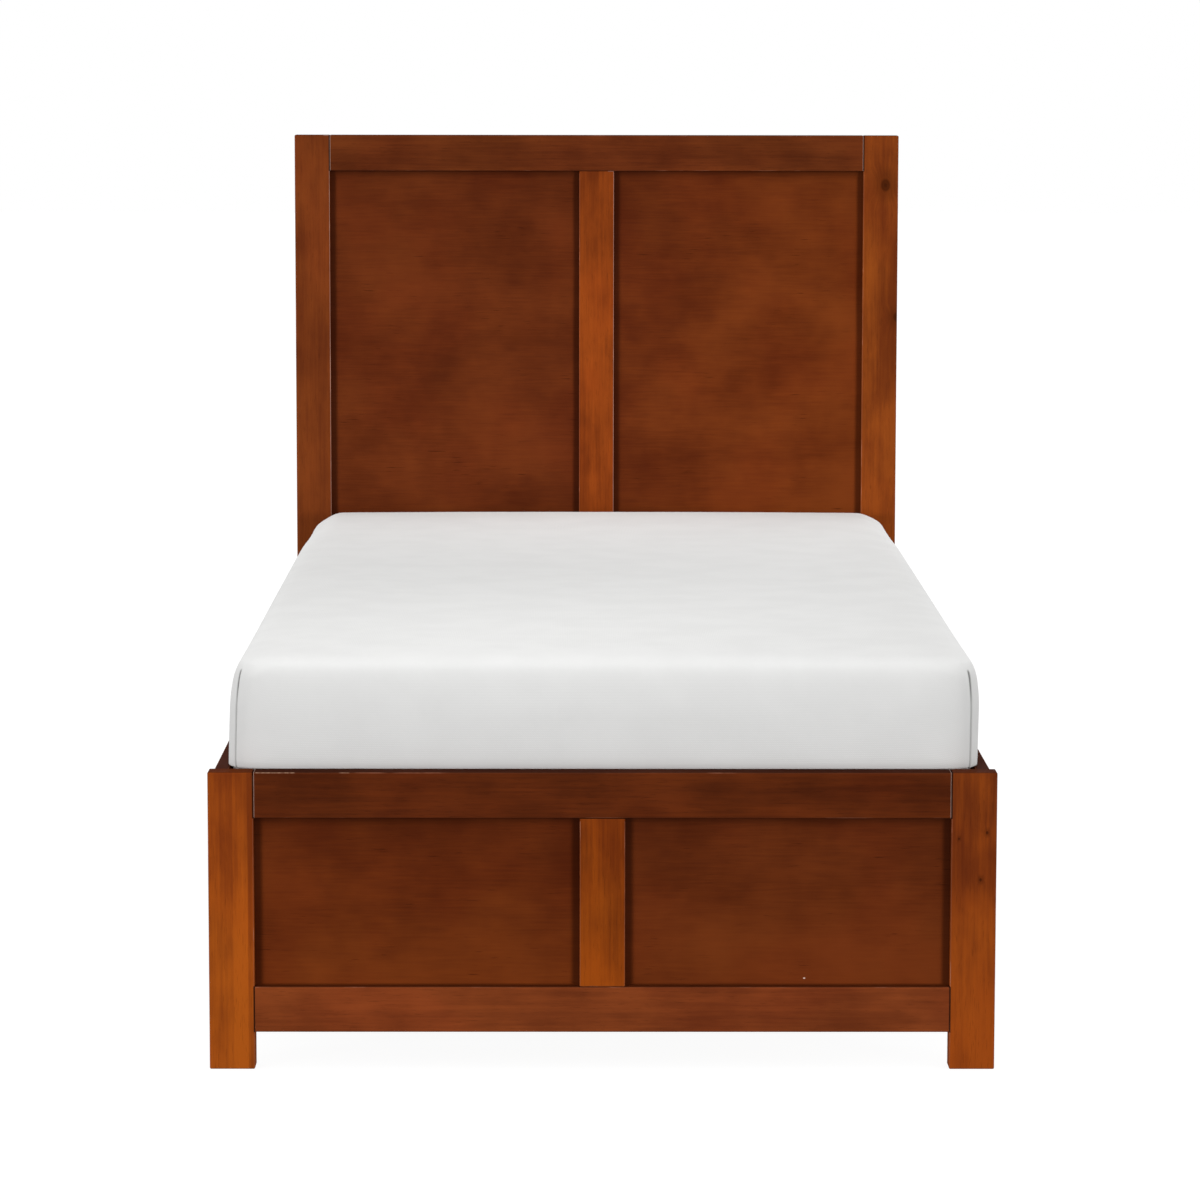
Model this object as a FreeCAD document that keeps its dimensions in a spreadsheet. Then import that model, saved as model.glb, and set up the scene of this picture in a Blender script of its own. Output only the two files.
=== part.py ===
"""Twin platform bed: panelled headboard and footboard, side rails, slatted deck and mattress.

Millimetres. X runs across the bed, Y from the footboard to the headboard, Z up.
The origin is on the floor under the middle of the bed.
"""
import FreeCAD, Part
import Sketcher
import os
import re

# Driving sizes, one cell of the sheet each
SIZES = {
    # Mattress, which the frame is made round
    "mattress_width": 990,
    "mattress_length": 1905,
    "mattress_thickness": 203,
    "mattress_corner_radius": 56,
    "mattress_lean": 7,
    "mattress_lean_height": 60,
    "mattress_waist_radius": 40,
    "mattress_top_radius": 28,
    "mattress_base_radius": 14,
    "mattress_side_play": 1,
    "mattress_end_play": 6,
    "mattress_rest_gap": 0.3,
    # Headboard and footboard
    "headboard_height": 1194,
    "footboard_height": 398,
    "frame_depth": 33,
    "post_width": 60,
    "stile_width": 60,
    "headboard_top_rail_width": 61,
    "headboard_bottom_rail_width": 110,
    "footboard_top_rail_width": 61,
    "footboard_bottom_rail_width": 61,
    "footboard_floor_gap": 50,
    "edge_radius": 2,
    "panel_thickness": 9,
    "panel_gap": 1,
    "groove_depth": 12,
    "groove_play": 0.15,
    "tenon_end_gap": 0.5,
    "tenon_shoulder": 8,
    # Side rails and their dowels
    "side_rail_thickness": 19,
    "side_rail_height": 180,
    "side_rail_inset": 5,
    "side_rail_drop": 4,
    "dowel_diameter": 8,
    "dowel_length": 30,
    "dowel_upper_drop": 30,
    "dowel_lower_drop": 65,
    "dowel_end_gap": 0.5,
    # Slats, their cleats and webbing
    "deck_recess": 54,
    "slat_count": 13,
    "slat_width": 70,
    "slat_thickness": 18,
    "slat_side_play": 3,
    "slat_end_gap": 2,
    "cleat_width": 25,
    "cleat_height": 35,
    "cleat_end_gap": 5,
    "cleat_screw_count": 6,
    "cleat_screw_margin": 100,
    "strap_width": 25,
    "strap_thickness": 1,
    "strap_spacing": 620,
    "strap_tail": 6,
    "staple_crown": 11,
    "staple_width": 1.2,
    "staple_gauge": 0.6,
    "staple_leg": 8,
    # Centre beam with its hangers, legs and levelling feet
    "beam_thickness": 22,
    "beam_height": 60,
    "beam_end_gap": 1,
    "hanger_gauge": 2,
    "hanger_play": 0.3,
    "hanger_reach": 45,
    "hanger_height": 54,
    "hanger_ear": 14,
    "hanger_screw_low": 14,
    "hanger_screw_high": 42,
    "leg_side": 38,
    "leg_spacing": 800,
    "leg_floor_gap": 24,
    "leg_bolt_diameter": 8,
    "leg_bolt_length": 60,
    "leg_bolt_end_gap": 1,
    "leveller_stem_diameter": 8,
    "leveller_grip": 30,
    "leveller_travel": 10,
    "leveller_pad_diameter": 34,
    "leveller_pad_height": 8,
    "leveller_pad_bevel": 2,
    "leveller_socket": 5,
    "tee_nut_barrel": 10.5,
    "tee_nut_length": 9,
    "tee_nut_flange": 24,
    "tee_nut_gauge": 1.6,
    "running_play": 0.1,
    # Corner brackets
    "bracket_gauge": 3,
    "bracket_height": 80,
    "bracket_rail_leg": 40,
    "bracket_post_leg": 33,
    "bracket_rise": 11,
    "bracket_bolt_inset": 16,
    "bracket_bolt_edge": 20,
    "bracket_screw_inset": 27,
    "bracket_screw_edge": 14,
    "bolt_diameter": 6,
    "bolt_length": 18,
    "bolt_head_diameter": 11,
    "bolt_head_height": 3.3,
    "bolt_socket_width": 4,
    "bolt_socket_depth": 2,
    "washer_diameter": 13,
    "washer_gauge": 1.5,
    "insert_diameter": 10,
    "insert_length": 15,
    # Wood screws
    "screw_diameter": 4,
    "screw_head_diameter": 7.6,
    "screw_head_height": 2.4,
    "screw_tip": 4,
    "screw_recess_width": 1,
    "screw_recess_span": 4.4,
    "screw_recess_depth": 1.2,
    "short_screw_length": 12,
    "cleat_screw_length": 36,
    "slat_screw_length": 36,
    "hole_play": 0.2,
}

# Places worked out from the sizes
RAIL_INNER = "(mattress_width / 2 + mattress_side_play)"
BED_HALF = f"({RAIL_INNER} + side_rail_thickness + side_rail_inset)"
BED_WIDTH = f"(2 * {BED_HALF})"
CROSS_SPAN = f"({BED_WIDTH} - 2 * post_width)"
PANEL_SPAN = f"(({CROSS_SPAN} - stile_width) / 2)"
RAIL_LENGTH = "(mattress_length + 2 * mattress_end_play)"
HALF_LENGTH = f"({RAIL_LENGTH} / 2)"
RAIL_TOP = "(footboard_height - side_rail_drop)"
RAIL_BOTTOM = f"({RAIL_TOP} - side_rail_height)"
DECK_TOP = f"({RAIL_TOP} - deck_recess)"
DECK_BOTTOM = f"({DECK_TOP} - slat_thickness)"
STRAP_TOP = f"({DECK_TOP} + strap_thickness)"
GROOVE_WIDTH = "(panel_thickness + 2 * groove_play)"
PANEL_TUCK = "(groove_depth - panel_gap)"
TENON_LENGTH = "(groove_depth - tenon_end_gap)"
BRACKET_BOTTOM = f"({RAIL_BOTTOM} + bracket_rise)"
BRACKET_TOP = f"({BRACKET_BOTTOM} + bracket_height)"
BOLT_X = f"({RAIL_INNER} - bracket_bolt_inset)"
BOLT_HEIGHTS = (f"({BRACKET_BOTTOM} + bracket_bolt_edge)", f"({BRACKET_TOP} - bracket_bolt_edge)")
SCREW_HEIGHTS = (f"({BRACKET_BOTTOM} + bracket_screw_edge)", f"({BRACKET_TOP} - bracket_screw_edge)")
DOWEL_X = f"({BED_HALF} - side_rail_inset - side_rail_thickness / 2)"
DOWEL_HEIGHTS = (f"({RAIL_TOP} - dowel_upper_drop)", f"({RAIL_TOP} - dowel_lower_drop)")
BEAM_BOTTOM = f"({DECK_BOTTOM} - beam_height)"
HANGER_BOTTOM = f"({BEAM_BOTTOM} - hanger_gauge)"
HANGER_WALL = "(beam_thickness / 2 + hanger_play + hanger_gauge)"
HANGER_SCREW_X = f"({HANGER_WALL} + hanger_ear / 2)"
HANGER_SCREW_HEIGHTS = (f"({HANGER_BOTTOM} + hanger_screw_low)", f"({HANGER_BOTTOM} + hanger_screw_high)")
CLEAT_LENGTH = f"({RAIL_LENGTH} - 2 * (bracket_rail_leg + cleat_end_gap))"
SLAT_REACH = f"({HALF_LENGTH} - bracket_rail_leg - slat_end_gap - slat_width / 2)"
SLAT_PITCH = f"(2 * {SLAT_REACH} / (slat_count - 1))"
CLEAT_MIDDLE = f"({RAIL_INNER} - cleat_width / 2)"
CLEAT_CENTRE = f"({DECK_BOTTOM} - cleat_height / 2)"
LEG_LENGTH = f"({BEAM_BOTTOM} - leg_floor_gap)"
BOLT_HOLE = "(bolt_diameter + 2 * hole_play)"
SCREW_HOLE = "(screw_diameter + hole_play)"
SCREW_SINK = "(screw_head_diameter + 2 * hole_play)"

# Turns that point a fastener or a drill along an axis, from its own -Z
TURNS = {
    "-z": FreeCAD.Rotation(),
    "+z": FreeCAD.Rotation(FreeCAD.Vector(1, 0, 0), 180),
    "+x": FreeCAD.Rotation(FreeCAD.Vector(0, 1, 0), -90),
    "-x": FreeCAD.Rotation(FreeCAD.Vector(0, 1, 0), 90),
    "+y": FreeCAD.Rotation(FreeCAD.Vector(1, 0, 0), 90),
    "-y": FreeCAD.Rotation(FreeCAD.Vector(1, 0, 0), -90),
}
ORIGIN = ("0", "0", "0")

doc = FreeCAD.newDocument("platform_bed")
sheet = doc.addObject("Spreadsheet::Sheet", "sizes")
for row, (alias, value) in enumerate(SIZES.items(), start=1):
    sheet.set(f"A{row}", alias)
    sheet.set(f"B{row}", str(value))
    sheet.setAlias(f"B{row}", alias)
doc.recompute()

nodes = []


def bind(thing, prop, text):
    """Tie a property to the sheet: plain size names in the text become cell references."""
    words = re.compile(r"[a-z_]+")
    thing.setExpression(prop, words.sub(lambda word: cell(word.group()), text))


def cell(word):
    return f"sizes.{word}" if word in SIZES else word


def place(thing, point, turn=FreeCAD.Rotation()):
    """Turn a thing, then tie its place to the sheet."""
    thing.Placement = FreeCAD.Placement(FreeCAD.Vector(), turn)
    for axis, text in zip("xyz", point):
        bind(thing, f"Placement.Base.{axis}", text)


def new_body(name):
    body = doc.addObject("PartDesign::Body", name)
    body.Label = name
    return body


def keep(name, point=ORIGIN):
    """A body that is one node of the bed."""
    body = new_body(name)
    place(body, point)
    nodes.append(body)
    return body


def origin_plane(body, role):
    return next(plane for plane in body.Origin.OriginFeatures if plane.Role == role)


def sketch_on(body, role, name):
    sketch = body.newObject("Sketcher::SketchObject", name)
    sketch.AttachmentSupport = [(origin_plane(body, role), "")]
    sketch.MapMode = "FlatFace"
    return sketch


def measure(sketch, kind, first, first_end, second, second_end, text):
    """Add a distance between two points of a sketch and tie it to the sheet."""
    row = sketch.addConstraint(Sketcher.Constraint(kind, first, first_end, second, second_end, 1.0))
    bind(sketch, f"Constraints[{row}]", text)


def rectangle(sketch, width, height):
    """A rectangle with one corner on the sketch's origin."""
    corners = [FreeCAD.Vector(*xy, 0) for xy in ((0, 0), (9, 0), (9, 9), (0, 9))]
    for start, end in zip(corners, corners[1:] + corners[:1]):
        sketch.addGeometry(Part.LineSegment(start, end), False)
    for side in range(4):
        sketch.addConstraint(Sketcher.Constraint("Coincident", side, 2, (side + 1) % 4, 1))
        sketch.addConstraint(Sketcher.Constraint(("Horizontal", "Vertical")[side % 2], side))
    sketch.addConstraint(Sketcher.Constraint("Coincident", 0, 1, -1, 1))
    measure(sketch, "DistanceX", 0, 1, 0, 2, width)
    measure(sketch, "DistanceY", 1, 1, 1, 2, height)


def board(name, size, corner, eased=True):
    """A squared board from its lowest corner, with its edges eased where they show."""
    body = keep(name, corner)
    outline = sketch_on(body, "XY_Plane", f"{name}_outline")
    rectangle(outline, size[0], size[1])
    pad = body.newObject("PartDesign::Pad", f"{name}_pad")
    pad.Profile = outline
    bind(pad, "Length", size[2])
    if eased:
        ease = body.newObject("PartDesign::Fillet", f"{name}_eased")
        ease.Base = (pad, ["Edge1"])
        ease.UseAllEdges = True
        bind(ease, "Radius", "edge_radius")
    return body


def block(body, kind, name, size, corner):
    """Add or cut a box in a body, from its lowest corner."""
    box = body.newObject(f"PartDesign::{kind}Box", f"{body.Name}_{name}")
    for prop, text in zip(("Length", "Width", "Height"), size):
        bind(box, prop, text)
    place(box, corner)


def rod(body, kind, name, diameter, length, point, direction):
    """Add or cut a round bar in a body, from a point along a direction."""
    bar = body.newObject(f"PartDesign::{kind}Cylinder", f"{body.Name}_{name}")
    bind(bar, "Radius", f"{diameter} / 2")
    bind(bar, "Height", length)
    place(bar, point, TURNS[direction].multiply(TURNS["+z"]))


def drill(body, name, diameter, depth, point, direction):
    rod(body, "Subtractive", name, diameter, depth, point, direction)


def copies(name, master, places):
    """A node of identical fasteners: copies of one master at points, along directions."""
    links = []
    for number, (point, direction) in enumerate(places, start=1):
        link = doc.addObject("App::Link", f"{name}_{number}")
        link.LinkedObject = master
        place(link, point, TURNS[direction])
        links.append(link)
    group = doc.addObject("Part::Compound", name)
    group.Label = name
    group.Links = links
    nodes.append(group)


def negate(text):
    return f"-({text})"


def signed(side, text):
    return text if side > 0 else negate(text)


def towards(side, axis):
    return ("+" if side > 0 else "-") + axis


def span(side, near, size):
    """The lowest coordinate of a box that starts at near and reaches outwards by size."""
    return near if side > 0 else f"(-({near}) - ({size}))"


SIDES = (("left", -1), ("right", 1))
ENDS = (("footboard", -1), ("headboard", 1))


# Headboard and footboard


def post(end, end_side, side_name, side, height, groove_low):
    """A post with a stopped groove for the rails and panel, and holes for the rail joint."""
    corner = (span(side, f"({BED_HALF} - post_width)", "post_width"), end_low(end_side), "0")
    body = board(f"{end}_{side_name}_post", ("post_width", "frame_depth", height), corner)
    low = f"({groove_low} + tenon_shoulder - groove_play)"
    high = f"({height} - tenon_shoulder + groove_play)"
    groove_x = "(post_width - groove_depth)" if side < 0 else "-groove_depth"
    groove_y = f"((frame_depth - {GROOVE_WIDTH}) / 2)"
    size = ("2 * groove_depth", GROOVE_WIDTH, f"({high} - {low})")
    block(body, "Subtractive", "groove", size, (groove_x, groove_y, low))
    face = "frame_depth" if end_side < 0 else "0"
    into = towards(end_side, "y")
    for number, height_text in enumerate(BOLT_HEIGHTS, start=1):
        point = (in_post(side, BOLT_X), face, height_text)
        drill(body, f"insert_hole_{number}", "(insert_diameter + hole_play)", "insert_length", point, into)
    for number, height_text in enumerate(DOWEL_HEIGHTS, start=1):
        point = (in_post(side, DOWEL_X), face, height_text)
        depth = "(dowel_length / 2 + dowel_end_gap)"
        drill(body, f"dowel_hole_{number}", "(dowel_diameter + hole_play)", depth, point, into)


def in_post(side, distance):
    """A distance from the bed's middle, in a post's own frame."""
    return f"({BED_HALF} - {distance})" if side < 0 else f"({distance} - {BED_HALF} + post_width)"


def end_low(end_side):
    return HALF_LENGTH if end_side > 0 else f"(-{HALF_LENGTH} - frame_depth)"


def cross_rail(name, end_side, width, bottom, groove_on_top):
    """A rail between the posts, with a stub tenon at each end and a groove in its panel edge."""
    corner = (f"(-{CROSS_SPAN} / 2)", end_low(end_side), bottom)
    body = board(name, (CROSS_SPAN, "frame_depth", width), corner)
    tenon_low = "tenon_shoulder" if groove_on_top else "groove_depth"
    tenon_y = "((frame_depth - panel_thickness) / 2)"
    tenon_width = f"({width} - groove_depth - tenon_shoulder)"
    size = (f"({TENON_LENGTH} + edge_radius)", "panel_thickness", tenon_width)
    block(body, "Additive", "left_tenon", size, (f"-{TENON_LENGTH}", tenon_y, tenon_low))
    block(body, "Additive", "right_tenon", size, (f"({CROSS_SPAN} - edge_radius)", tenon_y, tenon_low))
    groove_low = f"({width} - groove_depth)" if groove_on_top else "-groove_depth"
    corner = ("0", f"((frame_depth - {GROOVE_WIDTH}) / 2)", groove_low)
    block(body, "Subtractive", "groove", (CROSS_SPAN, GROOVE_WIDTH, "2 * groove_depth"), corner)
    return body


def centre_stile(end, end_side, bottom, height):
    """The upright between the two panels, tongued into both rails and grooved on both sides."""
    corner = ("-stile_width / 2", end_low(end_side), bottom)
    body = board(f"{end}_centre_stile", ("stile_width", "frame_depth", height), corner)
    groove_y = f"((frame_depth - {GROOVE_WIDTH}) / 2)"
    groove = ("2 * groove_depth", GROOVE_WIDTH, height)
    block(body, "Subtractive", "left_groove", groove, ("-groove_depth", groove_y, "0"))
    block(body, "Subtractive", "right_groove", groove, ("(stile_width - groove_depth)", groove_y, "0"))
    tenon_y = "((frame_depth - panel_thickness) / 2)"
    size = ("(stile_width - 2 * groove_depth)", "panel_thickness", f"({TENON_LENGTH} + edge_radius)")
    block(body, "Additive", "bottom_tenon", size, ("groove_depth", tenon_y, f"-{TENON_LENGTH}"))
    block(body, "Additive", "top_tenon", size, ("groove_depth", tenon_y, f"({height} - edge_radius)"))
    return body


def hanger_holes(body, face, into, middle, bottom):
    """Pilot holes for a beam hanger in the face of a board, in the board's own frame."""
    depth = "(short_screw_length - hanger_gauge)"
    for number, height in enumerate(HANGER_SCREW_HEIGHTS, start=1):
        for side_name, side in SIDES:
            point = (f"({middle} + {signed(side, HANGER_SCREW_X)})", face, f"({height} - {bottom})")
            drill(body, f"{side_name}_hanger_hole_{number}", SCREW_HOLE, depth, point, into)


def panelled_end(end, end_side, height, bottom, bottom_width, top_width):
    """Two posts, two rails, a centre stile and two panels that float in the grooves."""
    for side_name, side in SIDES:
        post(end, end_side, side_name, side, height, bottom)
    low = f"({bottom} + {bottom_width})"
    high = f"({height} - {top_width})"
    bottom_rail = cross_rail(f"{end}_bottom_rail", end_side, bottom_width, bottom, True)
    cross_rail(f"{end}_top_rail", end_side, top_width, high, False)
    stile = centre_stile(end, end_side, low, f"({high} - {low})")
    size = (f"({PANEL_SPAN} + 2 * {PANEL_TUCK})", "panel_thickness", f"({high} - {low} + 2 * {PANEL_TUCK})")
    panel_y = f"({end_low(end_side)} + (frame_depth - panel_thickness) / 2)"
    for side_name, side in SIDES:
        near = f"(stile_width / 2 - {PANEL_TUCK})"
        corner = (span(side, near, size[0]), panel_y, f"({low} - {PANEL_TUCK})")
        board(f"{end}_{side_name}_panel", size, corner, False)
    if end_side < 0:
        hanger_holes(stile, "frame_depth", "-y", "stile_width / 2", low)
    else:
        hanger_holes(bottom_rail, "0", "+y", f"{CROSS_SPAN} / 2", bottom)


panelled_end("footboard", -1, "footboard_height", "footboard_floor_gap",
             "footboard_bottom_rail_width", "footboard_top_rail_width")
panelled_end("headboard", 1, "headboard_height", RAIL_BOTTOM,
             "headboard_bottom_rail_width", "headboard_top_rail_width")


# Side rails with their cleats


def cleat_screw_places():
    """Distances of the cleat screws from the middle of the bed."""
    count = int(sheet.cleat_screw_count)
    reach = f"({CLEAT_LENGTH} / 2 - cleat_screw_margin)"
    return [f"({reach} * {2 * number / (count - 1) - 1})" for number in range(count)]


def side_rail(side_name, side):
    """A rail with dowel holes in its ends and pilot holes for its cleat and brackets."""
    near = span(side, RAIL_INNER, "side_rail_thickness")
    size = ("side_rail_thickness", RAIL_LENGTH, "side_rail_height")
    body = board(f"{side_name}_side_rail", size, (near, f"-{HALF_LENGTH}", RAIL_BOTTOM))
    for end, end_side in ENDS:
        end_y = RAIL_LENGTH if end_side > 0 else "0"
        for number, height in enumerate(DOWEL_HEIGHTS, start=1):
            point = ("side_rail_thickness / 2", end_y, f"({height} - {RAIL_BOTTOM})")
            depth = "(dowel_length / 2 + dowel_end_gap)"
            name = f"{end}_dowel_hole_{number}"
            drill(body, name, "(dowel_diameter + hole_play)", depth, point, towards(-end_side, "y"))
        for number, height in enumerate(SCREW_HEIGHTS, start=1):
            along = f"({HALF_LENGTH} + {signed(end_side, f'({HALF_LENGTH} - bracket_screw_inset)')})"
            point = (inner_face(side), along, f"({height} - {RAIL_BOTTOM})")
            depth = "(short_screw_length - bracket_gauge)"
            drill(body, f"{end}_bracket_hole_{number}", SCREW_HOLE, depth, point, towards(side, "x"))
    for number, along in enumerate(cleat_screw_places(), start=1):
        point = (inner_face(side), f"({HALF_LENGTH} + {along})", f"({CLEAT_CENTRE} - {RAIL_BOTTOM})")
        depth = "(cleat_screw_length - cleat_width)"
        drill(body, f"cleat_hole_{number}", SCREW_HOLE, depth, point, towards(side, "x"))


def inner_face(side):
    return "0" if side > 0 else "side_rail_thickness"


def slat_cleat(side_name, side):
    """The strip on the inside of a rail that carries the slats."""
    near = span(side, f"({RAIL_INNER} - cleat_width)", "cleat_width")
    corner = (near, f"(-{CLEAT_LENGTH} / 2)", f"({DECK_BOTTOM} - cleat_height)")
    body = board(f"{side_name}_slat_cleat", ("cleat_width", CLEAT_LENGTH, "cleat_height"), corner)
    face = "0" if side > 0 else "cleat_width"
    for number, along in enumerate(cleat_screw_places(), start=1):
        point = (face, f"({CLEAT_LENGTH} / 2 + {along})", "cleat_height / 2")
        drill(body, f"screw_hole_{number}", SCREW_HOLE, "cleat_width", point, towards(side, "x"))
        drill(body, f"screw_sink_{number}", SCREW_SINK, "screw_head_height", point, towards(side, "x"))
    for end, end_side in ENDS:
        along = f"({CLEAT_LENGTH} / 2 + {signed(end_side, SLAT_REACH)})"
        point = ("cleat_width / 2", along, "cleat_height")
        drill(body, f"{end}_slat_hole", SCREW_HOLE, "(slat_screw_length - slat_thickness)", point, "-z")


for side_name, side in SIDES:
    side_rail(side_name, side)
    slat_cleat(side_name, side)


# Slats, webbing and staples


def slat_place(number):
    """Distance of a slat's middle from the middle of the bed, counted from the footboard."""
    return f"({number} * {SLAT_PITCH} - {SLAT_REACH})"


def slat(number, screwed):
    half = f"({RAIL_INNER} - slat_side_play)"
    corner = (negate(half), f"({slat_place(number)} - slat_width / 2)", DECK_BOTTOM)
    body = board(f"slat_{number + 1:02d}", (f"(2 * {half})", "slat_width", "slat_thickness"), corner)
    if screwed:
        for side_name, side in SIDES:
            point = (f"({half} + {signed(side, CLEAT_MIDDLE)})", "slat_width / 2", "slat_thickness")
            drill(body, f"{side_name}_screw_hole", SCREW_HOLE, "slat_thickness", point, "-z")
            drill(body, f"{side_name}_screw_sink", SCREW_SINK, "screw_head_height", point, "-z")


slat_total = int(sheet.slat_count)
for number in range(slat_total):
    slat(number, number in (0, slat_total - 1))

for side_name, side in SIDES:
    reach = f"({SLAT_REACH} + slat_width / 2 - strap_tail)"
    strap_x = f"({signed(side, 'strap_spacing / 2')} - strap_width / 2)"
    size = ("strap_width", f"(2 * {reach})", "strap_thickness")
    board(f"{side_name}_slat_strap", size, (strap_x, negate(reach), DECK_TOP), False)

staple = new_body("staple_master")
block(staple, "Additive", "crown", ("staple_crown", "staple_width", "staple_gauge"),
      ("-staple_crown / 2", "-staple_width / 2", "0"))
for side_name, side in SIDES:
    leg_x = span(side, "(staple_crown / 2 - staple_gauge)", "staple_gauge")
    leg_size = ("staple_gauge", "staple_width", "(staple_leg + staple_gauge)")
    block(staple, "Additive", f"{side_name}_leg", leg_size, (leg_x, "-staple_width / 2", "-staple_leg"))
copies("strap_staples", staple, [
    ((signed(side, "strap_spacing / 2"), slat_place(number), STRAP_TOP), "-z")
    for _, side in SIDES for number in range(slat_total)])


# Centre beam, hangers, legs and levelling feet

beam_length = f"({RAIL_LENGTH} - 2 * beam_end_gap)"
beam = board("centre_beam", ("beam_thickness", beam_length, "beam_height"),
             ("-beam_thickness / 2", f"(-{beam_length} / 2)", BEAM_BOTTOM))
LEG_BOLT_DEPTH = "(leg_bolt_length / 2 + leg_bolt_end_gap)"
LEG_BOLT_HOLE = "(leg_bolt_diameter + hole_play)"
LEGS = (("front", -1), ("rear", 1))
for leg_name, leg_side in LEGS:
    point = ("beam_thickness / 2", f"({beam_length} / 2 + {signed(leg_side, 'leg_spacing / 2')})", "0")
    drill(beam, f"{leg_name}_leg_hole", LEG_BOLT_HOLE, LEG_BOLT_DEPTH, point, "+z")


def beam_hanger(end, end_side):
    """A folded steel stirrup: seat and walls under the beam, ears on the board behind."""
    half = f"({HANGER_WALL} + hanger_ear)"
    hanger_y = span(end_side, f"({HALF_LENGTH} - hanger_reach)", "hanger_reach")
    corner = (negate(half), hanger_y, HANGER_BOTTOM)
    body = board(f"{end}_beam_hanger", (f"(2 * {half})", "hanger_reach", "hanger_height"), corner, False)
    channel = ("(beam_thickness + 2 * hanger_play)", "hanger_reach", "hanger_height")
    block(body, "Subtractive", "channel", channel, ("(hanger_ear + hanger_gauge)", "0", "hanger_gauge"))
    waste = ("hanger_ear", "(hanger_reach - hanger_gauge)", "hanger_height")
    waste_y = "0" if end_side > 0 else "hanger_gauge"
    block(body, "Subtractive", "left_waste", waste, ("0", waste_y, "0"))
    block(body, "Subtractive", "right_waste", waste, (f"(2 * {half} - hanger_ear)", waste_y, "0"))
    for number, height in enumerate(HANGER_SCREW_HEIGHTS, start=1):
        for side_name, side in SIDES:
            point = (f"({half} + {signed(side, HANGER_SCREW_X)})", "0", f"({height} - {HANGER_BOTTOM})")
            drill(body, f"{side_name}_hole_{number}", SCREW_HOLE, "hanger_reach", point, "+y")


def centre_leg(leg_name, leg_side):
    """A square leg under the beam, bored for its bolt above and its levelling foot below."""
    corner = ("-leg_side / 2", f"({signed(leg_side, 'leg_spacing / 2')} - leg_side / 2)", "leg_floor_gap")
    body = board(f"{leg_name}_centre_leg", ("leg_side", "leg_side", LEG_LENGTH), corner)
    middle = ("leg_side / 2", "leg_side / 2")
    drill(body, "bolt_hole", LEG_BOLT_HOLE, LEG_BOLT_DEPTH, (*middle, LEG_LENGTH), "-z")
    drill(body, "nut_hole", "(tee_nut_barrel + hole_play)", "tee_nut_length", (*middle, "0"), "+z")
    stem_room = "(leveller_grip + leveller_travel + leg_bolt_end_gap)"
    drill(body, "stem_hole", "(leveller_stem_diameter + 2 * running_play)", stem_room, (*middle, "0"), "+z")


def leveller(leg_name, leg_side):
    """A plastic pad with a steel stem that screws into the leg."""
    leg_y = signed(leg_side, "leg_spacing / 2")
    pad = keep(f"{leg_name}_leveller_pad", ("0", leg_y, "0"))
    rim = "(leveller_pad_height - leveller_pad_bevel)"
    rod(pad, "Additive", "rim", "leveller_pad_diameter", rim, ORIGIN, "+z")
    crown = pad.newObject("PartDesign::AdditiveCone", f"{pad.Name}_crown")
    bind(crown, "Radius1", "leveller_pad_diameter / 2")
    bind(crown, "Radius2", "leveller_pad_diameter / 2 - leveller_pad_bevel")
    bind(crown, "Height", "leveller_pad_bevel")
    place(crown, ("0", "0", rim))
    socket_low = "(leveller_pad_height - leveller_socket)"
    top = ("0", "0", "leveller_pad_height")
    drill(pad, "socket", "leveller_stem_diameter", "leveller_socket", top, "-z")
    stem = keep(f"{leg_name}_leveller_stem", ("0", leg_y, socket_low))
    rod(stem, "Additive", "shank", "leveller_stem_diameter",
        f"(leg_floor_gap + leveller_grip - {socket_low})", ORIGIN, "+z")


for end, end_side in ENDS:
    beam_hanger(end, end_side)
for leg_name, leg_side in LEGS:
    centre_leg(leg_name, leg_side)
    leveller(leg_name, leg_side)

leg_bolt = new_body("leg_bolt_master")
rod(leg_bolt, "Additive", "shank", "leg_bolt_diameter", "leg_bolt_length",
    ("0", "0", "leg_bolt_length / 2"), "-z")
copies("leg_bolts", leg_bolt, [
    (("0", signed(leg_side, "leg_spacing / 2"), BEAM_BOTTOM), "-z") for _, leg_side in LEGS])

tee_nut = new_body("tee_nut_master")
rod(tee_nut, "Additive", "flange", "tee_nut_flange", "tee_nut_gauge", ORIGIN, "-z")
rod(tee_nut, "Additive", "barrel", "tee_nut_barrel", "tee_nut_length", ORIGIN, "+z")
drill(tee_nut, "bore", "(leveller_stem_diameter + 2 * running_play)", "(tee_nut_length + tee_nut_gauge)",
      ("0", "0", "tee_nut_length"), "-z")
copies("leg_tee_nuts", tee_nut, [
    (("0", signed(leg_side, "leg_spacing / 2"), "leg_floor_gap"), "-z") for _, leg_side in LEGS])


# Corner brackets with their bolts


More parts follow.
